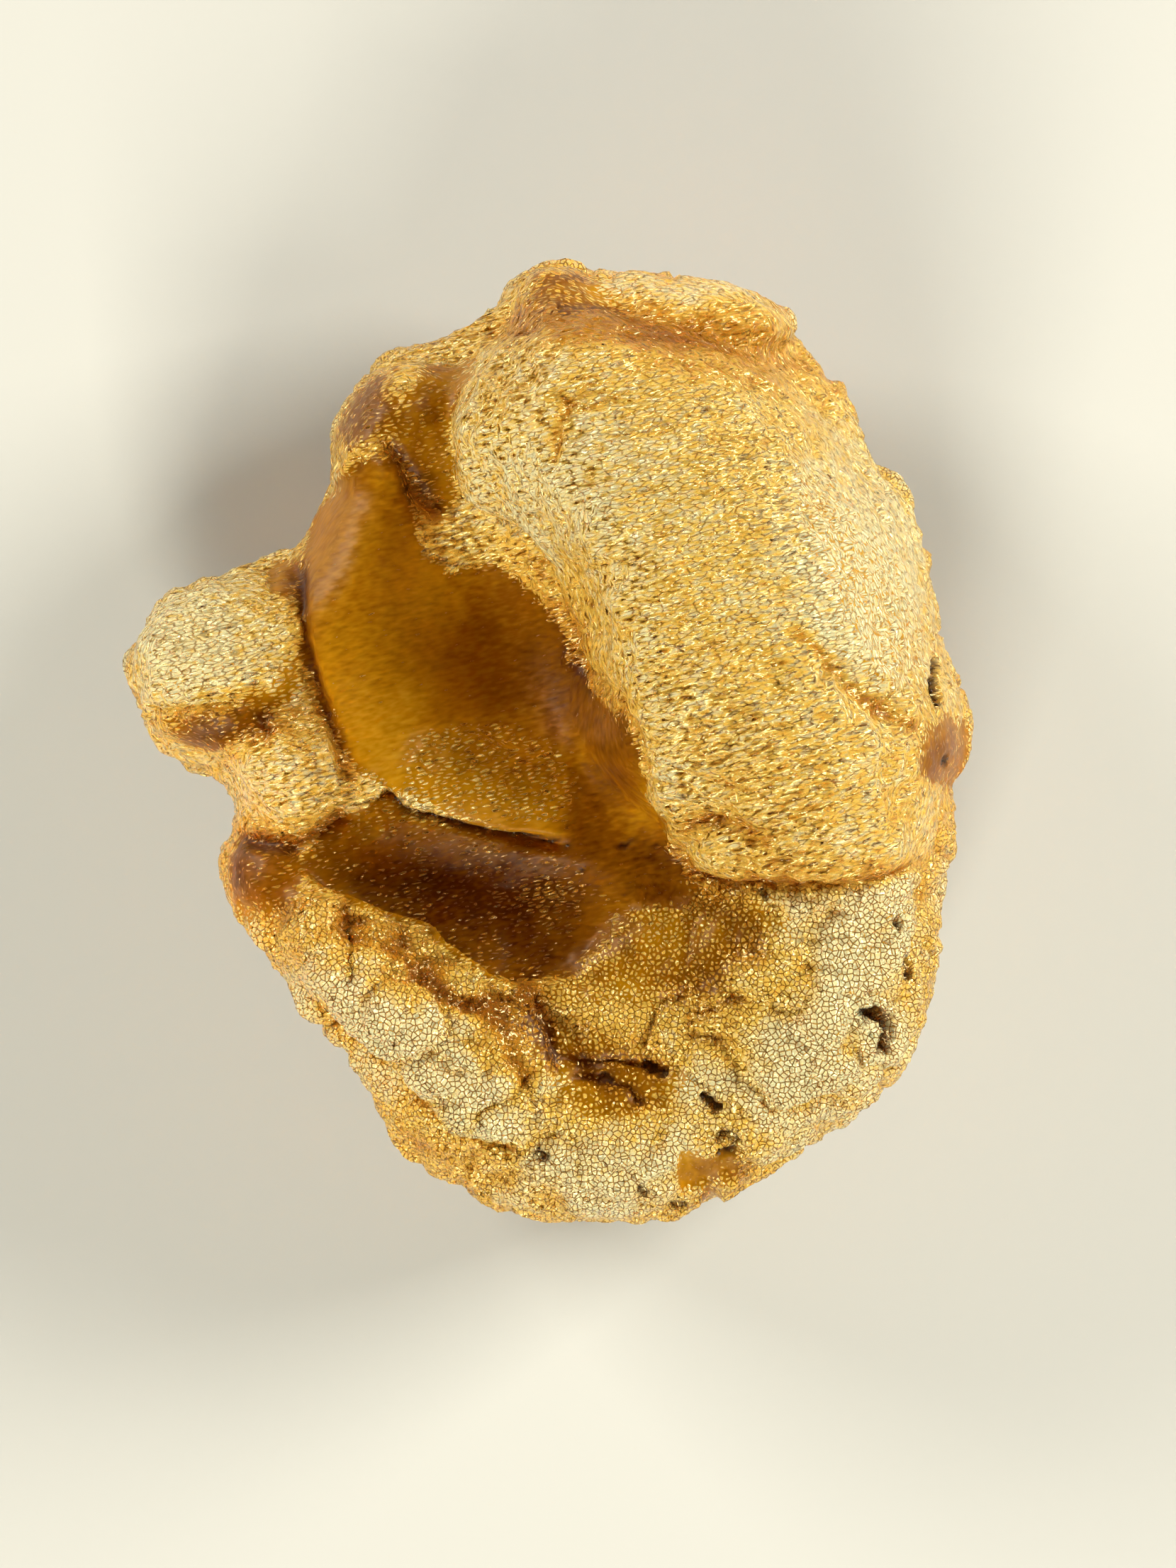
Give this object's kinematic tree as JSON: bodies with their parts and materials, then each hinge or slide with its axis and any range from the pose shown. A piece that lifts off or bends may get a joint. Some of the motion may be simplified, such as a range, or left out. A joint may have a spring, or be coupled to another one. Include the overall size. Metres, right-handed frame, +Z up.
{
  "type": "raw copal",
  "caption": "Lump of raw tree resin with a frosted dome, a side lobe, smooth see-through windows, a dried crack and a crackled crust; rests flat on its back",
  "frame": {"origin": "on the surface that the lump rests on, under the middle of its bounding box", "axes": "+Z up, out of the frosted dome; +Y along the lump's longest extent, towards the pointed tip; +X across it, away from the side lobe"},
  "size_m": [0.0492, 0.0558, 0.0235],
  "materials": {
    "copal_resin": "golden see-through resin: frosted and finely wrinkled on the lobes, finely cracked on the crust, smooth and amber in the hollows"
  },
  "bodies": {
    "root": {"copal_nugget": "copal_resin"}
  },
  "joints": []
}
